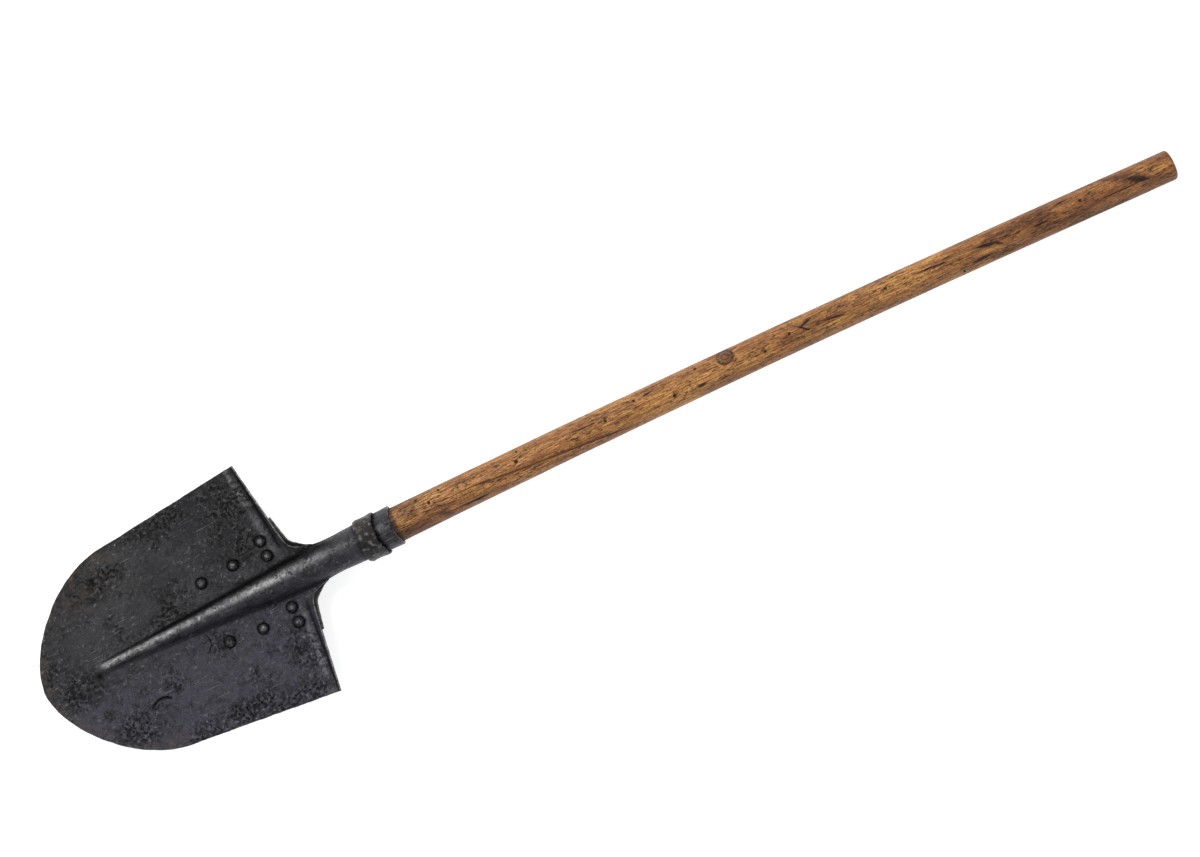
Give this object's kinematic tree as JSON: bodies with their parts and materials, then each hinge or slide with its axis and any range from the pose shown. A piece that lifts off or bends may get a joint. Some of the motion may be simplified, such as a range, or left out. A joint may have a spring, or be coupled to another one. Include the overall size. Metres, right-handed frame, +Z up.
{
  "type": "long-handled camp shovel",
  "caption": "Long-handled round-nosed field shovel: ridged steel blade riveted to a back plate that forms the socket, a driven steel ring and a slightly bowed wooden handle.",
  "frame": {"origin": "under the middle of the shovel's overall box, at the height of its lowest point, which is under the socket ring", "axes": "+X along the blade and socket axis, from the blade's tip to the handle's free end; +Y across the blade; +Z up out of the blade's front face"},
  "size_m": [1.249, 0.2512, 0.0482],
  "materials": {
    "blade_steel": "blackened, worn and pitted",
    "back_plate_steel": "blackened, worn",
    "ring_steel": "forged, worn bright at its edges",
    "rivet_steel": "blackened, rubbed on top",
    "handle_wood": "oiled, weathered, with dark cracks and knots"
  },
  "bodies": {
    "root": {"blade": "blade_steel", "back_plate": "back_plate_steel", "socket_ring": "ring_steel", "handle": "handle_wood", "socket_nail": "rivet_steel", "rivet_right_1": "rivet_steel", "rivet_right_2": "rivet_steel", "rivet_right_3": "rivet_steel", "rivet_right_4": "rivet_steel", "rivet_left_1": "rivet_steel", "rivet_left_2": "rivet_steel", "rivet_left_3": "rivet_steel", "rivet_left_4": "rivet_steel"}
  },
  "joints": []
}
